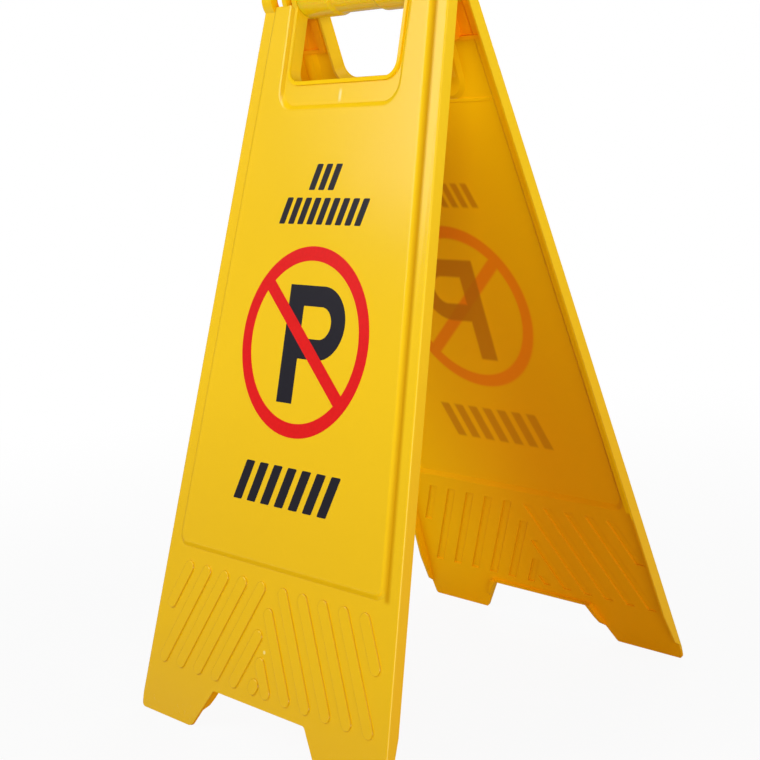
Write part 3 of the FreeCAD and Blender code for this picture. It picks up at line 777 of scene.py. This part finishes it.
class PARKINGSIGN_OT_studio(bpy.types.Operator):
    """Pale floor, soft lights and a camera at the usual three-quarter view"""

    bl_idname = "parkingsign.studio"
    bl_label = "Studio"

    def camera(self, scene, studio):
        clear_selection()
        bpy.ops.object.camera_add(location=studio.camera_place, rotation=studio.camera_turn)
        camera = bpy.context.object
        camera.name = "camera"
        camera.data.sensor_width = 36.0
        camera.data.lens = studio.lens
        camera.data.clip_start = 0.02
        scene.camera = camera

    def floor(self, studio):
        clear_selection()
        bpy.ops.mesh.primitive_plane_add(size=1.0, location=(0, 0, -0.0004))
        floor = bpy.context.object
        floor.name = "floor"
        floor.scale = (12.0, 12.0, 1.0)
        bpy.ops.object.transform_apply(location=True, rotation=True, scale=True)
        board = Board(bpy.data.materials.new("floor_card"))
        spot, (x, y, _z) = board.place()
        grey = board.blend(board.noise(spot, 3.0), (0.49, 0.49, 0.49), (0.52, 0.52, 0.52))
        card = board.surface(grey, 0.9)
        sheet = board.node("ShaderNodeEmission", None, [(1, 1, 1), 1.0])
        # the camera sees the card mostly white, and its shadows as a faint tone
        seen = board.node("ShaderNodeLightPath", output="Is Camera Ray")
        far = distance(x, y).rise(350.0, 1300.0)
        share = seen * (far * (1.0 - studio.white) + studio.white)
        floor.data.materials.append(board.close(board.join(share, card, sheet)))

    def lamp(self, name, place, size, power):
        """A rectangular soft light that points at the middle of the sign."""
        clear_selection()
        bpy.ops.object.light_add(type="AREA", location=place)
        lamp = bpy.context.object
        lamp.name = name
        lamp.data.name = name
        lamp.data.shape = "RECTANGLE"
        lamp.data.size, lamp.data.size_y = size
        lamp.data.energy = power
        way = Vector((0, 0, 0.3)) - Vector(place)
        lamp.rotation_euler = way.to_track_quat("-Z", "Y").to_euler()

    def air(self, scene, studio):
        """Even light all round, which the camera sees as white."""
        scene.world = scene.world or bpy.data.worlds.new("studio_air")
        board = Board(scene.world)
        seen = board.node("ShaderNodeLightPath", output="Is Camera Ray")
        dim, bright = (
            board.node("ShaderNodeBackground", None, [(1, 1, 1), strength])
            for strength in (studio.room, 1.0))
        board.close(board.join(seen, dim, bright), "ShaderNodeOutputWorld")

    def execute(self, context):
        scene = context.scene
        studio = scene.parking_sign.studio
        scene.view_settings.view_transform = "Standard"
        self.camera(scene, studio)
        self.floor(studio)
        self.lamp("key_light", (-0.76, -1.29, 1.48), (1.2, 1.2), studio.key)
        self.lamp("fill_light", (2.3, -1.82, 0.42), (1.9, 1.2), studio.fill)
        self.lamp("side_light", (1.3, 0.25, 1.4), (1.0, 1.0), studio.side)
        self.lamp("back_light", (-0.9, 1.9, 1.2), (1.4, 1.2), studio.back)
        self.air(scene, studio)
        return {"FINISHED"}


class PARKINGSIGN_OT_panels(bpy.types.Operator):
    """Both moulded panels, with softened edges and their plastic"""

    bl_idname = "parkingsign.panels"
    bl_label = "Panels"

    def execute(self, context):
        settings = context.scene.parking_sign
        for side in SIDES:
            plastic = panel_plastic(side, settings.tint, settings.marks)
            moulded_copy(side + "_panel", side + "_moulding", side,
                         plastic, settings.tint.soft_edge, PANEL_BORDERS)
        return {"FINISHED"}


class PARKINGSIGN_OT_carrying_bar(bpy.types.Operator):
    """Carrying bar between the posts"""

    bl_idname = "parkingsign.carrying_bar"
    bl_label = "Carrying bar"

    def execute(self, context):
        tint = context.scene.parking_sign.tint
        moulded_copy("handle_bar", "carrying_bar", "front",
                     bar_plastic(tint), tint.soft_edge)
        return {"FINISHED"}


class PARKINGSIGN_OT_inner_rib(bpy.types.Operator):
    """Low rib across the inner side of both panels, under the hand opening"""

    bl_idname = "parkingsign.inner_rib"
    bl_label = "Inner rib"

    def execute(self, context):
        for side in SIDES:
            clear_selection()
            bpy.ops.mesh.primitive_plane_add(
                size=1.0, location=(0, RIB_HEIGHT * MM, RIB_LEVEL * MM))
            piece = bpy.context.object
            piece.scale = (RIB_SIZE[0] * MM, RIB_SIZE[1] * MM, 1)
            bpy.ops.object.transform_apply(location=True, rotation=False, scale=True)
            bpy.ops.object.mode_set(mode="EDIT")
            thicken(RIB_THICKNESS * MM)
            pick_edges(piece, lambda at, way: at.z < (RIB_LEVEL + 0.01) * MM)
            bpy.ops.mesh.bevel(offset=RIB_ROUND * MM, segments=4, affect="EDGES")
            plastic = bpy.data.materials["moulded_plastic_" + side]
            settle(piece, side, "inner_rib", plastic)
        return {"FINISHED"}


class PARKINGSIGN_OT_no_parking_mark(bpy.types.Operator):
    """Red ring and slash over a plain letter, on both panels"""

    bl_idname = "parkingsign.no_parking_mark"
    bl_label = "No parking mark"

    def ring(self, marks, side, ink):
        clear_selection()
        bpy.ops.mesh.primitive_circle_add(
            vertices=marks.steps, radius=marks.ring_radius, fill_type="NGON",
            location=(0, marks.ring_height, FACE))
        piece = bpy.context.object
        bpy.ops.object.mode_set(mode="EDIT")
        bpy.ops.mesh.select_all(action="SELECT")
        bpy.ops.mesh.inset(thickness=marks.ring_width, depth=0)
        bpy.ops.mesh.delete(type="ONLY_FACE")
        thicken(marks.ink * 1.6)
        settle(piece, side, "ring", ink)

    def slash(self, marks, side, ink):
        first, last = (Vector((*end, 0)) * MM for end in SLASH)
        way = last - first
        clear_selection()
        bpy.ops.mesh.primitive_plane_add(size=1.0, location=(0, 0, 0))
        piece = bpy.context.object
        piece.scale = (way.length, marks.ring_width, 1)
        bpy.ops.object.transform_apply(location=False, rotation=False, scale=True)
        piece.rotation_euler = (0, 0, math.atan2(way.y, way.x))
        piece.location = (first + last) / 2 + Vector((0, 0, FACE + marks.ink * 0.3))
        bpy.ops.object.mode_set(mode="EDIT")
        bpy.ops.mesh.select_all(action="SELECT")
        bpy.ops.mesh.subdivide(number_cuts=3)
        thicken(marks.ink * 1.25)
        settle(piece, side, "slash", ink)

    def letter(self, marks, side, ink):
        """A plain capital: half a round bowl, two arms and a stem."""
        middle = Vector((*BOWL, 0)) * MM
        stem_right = (STEM[0] + STEM_HALF[0]) * MM
        clear_selection()
        bpy.ops.mesh.primitive_circle_add(
            vertices=64, radius=BOWL_RADIUS * MM, fill_type="NGON",
            location=(middle.x, middle.y, FACE))
        piece = bpy.context.object
        bpy.ops.object.transform_apply(location=True, rotation=False, scale=False)
        bpy.ops.object.mode_set(mode="EDIT")
        bpy.ops.mesh.select_all(action="SELECT")
        bpy.ops.mesh.inset(thickness=(BOWL_RADIUS - HOLE_RADIUS) * MM, depth=0)
        bpy.ops.mesh.delete(type="ONLY_FACE")
        bpy.ops.mesh.select_all(action="SELECT")
        bpy.ops.mesh.bisect(
            plane_co=(middle.x, middle.y, 0), plane_no=(1, 0, 0), clear_inner=True)
        # draw both arms out to the stem and then over its width
        pick_edges(piece, lambda at, way: abs(at.x - middle.x) < 1e-6 and abs(way.y) > 0.99)
        extrude(stem_right - middle.x, 0, 0)
        extrude(-2 * STEM_HALF[0] * MM, 0, 0)
        # fill the stem between the arms, and run it down to its foot
        hole = HOLE_RADIUS * MM
        pick_vertices(piece, lambda at: at.x < stem_right + 0.1 * MM
                      and abs(abs(at.y - middle.y) - hole) < 0.5 * MM)
        bpy.ops.mesh.edge_face_add()
        bottom = middle.y - BOWL_RADIUS * MM
        pick_edges(piece, lambda at, way: at.x < stem_right
                   and abs(at.y - bottom) < 0.05 * MM and abs(way.x) > 0.99)
        extrude(0, -STEM_DROP * MM, 0)
        thicken(marks.ink)
        settle(piece, side, "letter", ink)

    def execute(self, context):
        marks = context.scene.parking_sign.marks
        red = print_ink("red_ink", marks.red, 0.34)
        black = print_ink("black_ink", marks.black, 0.36)
        for side in SIDES:
            self.ring(marks, side, red)
            self.letter(marks, side, black)
            self.slash(marks, side, red)
        return {"FINISHED"}


class PARKINGSIGN_OT_warning_bars(bpy.types.Operator):
    """Rows of slanted black bars above and below the ring, on both panels"""

    bl_idname = "parkingsign.warning_bars"
    bl_label = "Warning bars"

    def row(self, marks, side, ink, index, row):
        (left, right), (low, high), (bar, gap) = row
        clear_selection()
        bpy.ops.mesh.primitive_plane_add(size=1.0, location=(0, 0, 0))
        piece = bpy.context.object
        piece.scale = (bar * MM, (high - low) * MM, 1)
        piece.location = ((left + gap / 2 + bar / 2) * MM, (low + high) / 2 * MM, FACE)
        bpy.ops.object.transform_apply(location=True, rotation=False, scale=True)
        pick_vertices(piece, lambda at: at.y > (low + high) / 2 * MM)
        bpy.ops.transform.translate(value=((high - low) * BAR_SLANT * MM, 0, 0))
        bpy.ops.mesh.select_all(action="SELECT")
        bpy.ops.mesh.bevel(offset=BAR_ROUND * MM, segments=4, affect="VERTICES")
        for _copy in range(int((right - left) / (bar + gap)) - 1):
            bpy.ops.mesh.duplicate_move(
                TRANSFORM_OT_translate={"value": ((bar + gap) * MM, 0, 0)})
        thicken(marks.ink)
        settle(piece, side, "bars_%d" % index, ink)

    def execute(self, context):
        marks = context.scene.parking_sign.marks
        ink = bpy.data.materials.get("black_ink") or print_ink("black_ink", marks.black, 0.36)
        for side in SIDES:
            for index, row in enumerate(BAR_ROWS, start=1):
                self.row(marks, side, ink, index, row)
        return {"FINISHED"}


class PARKINGSIGN_PT_sidebar(bpy.types.Panel):
    bl_label = "Parking sign"
    bl_idname = "PARKINGSIGN_PT_sidebar"
    bl_space_type = "VIEW_3D"
    bl_region_type = "UI"
    bl_category = "Parking sign"

    def draw(self, context):
        settings = context.scene.parking_sign
        for operator in OPERATORS:
            self.layout.operator(operator.bl_idname)
        for group in (settings.tint, settings.marks, settings.studio):
            box = self.layout.box()
            for name in group.bl_rna.properties.keys():
                if name not in {"rna_type", "name"}:
                    box.prop(group, name)


OPERATORS = (
    PARKINGSIGN_OT_studio,
    PARKINGSIGN_OT_panels,
    PARKINGSIGN_OT_carrying_bar,
    PARKINGSIGN_OT_inner_rib,
    PARKINGSIGN_OT_no_parking_mark,
    PARKINGSIGN_OT_warning_bars,
)
CLASSES = (ParkingSignTint, ParkingSignMarks, ParkingSignStudio, ParkingSignSettings,
           *OPERATORS, PARKINGSIGN_PT_sidebar)


def register():
    for item in CLASSES:
        bpy.utils.register_class(item)
    bpy.types.Scene.parking_sign = PointerProperty(type=ParkingSignSettings)


def unregister():
    del bpy.types.Scene.parking_sign
    for item in reversed(CLASSES):
        bpy.utils.unregister_class(item)


def main():
    register()
    bpy.ops.parkingsign.studio()
    bpy.ops.parkingsign.panels()
    bpy.ops.parkingsign.carrying_bar()
    bpy.ops.parkingsign.inner_rib()
    bpy.ops.parkingsign.no_parking_mark()
    bpy.ops.parkingsign.warning_bars()
    clear_selection()


if __name__ == "__main__":
    main()
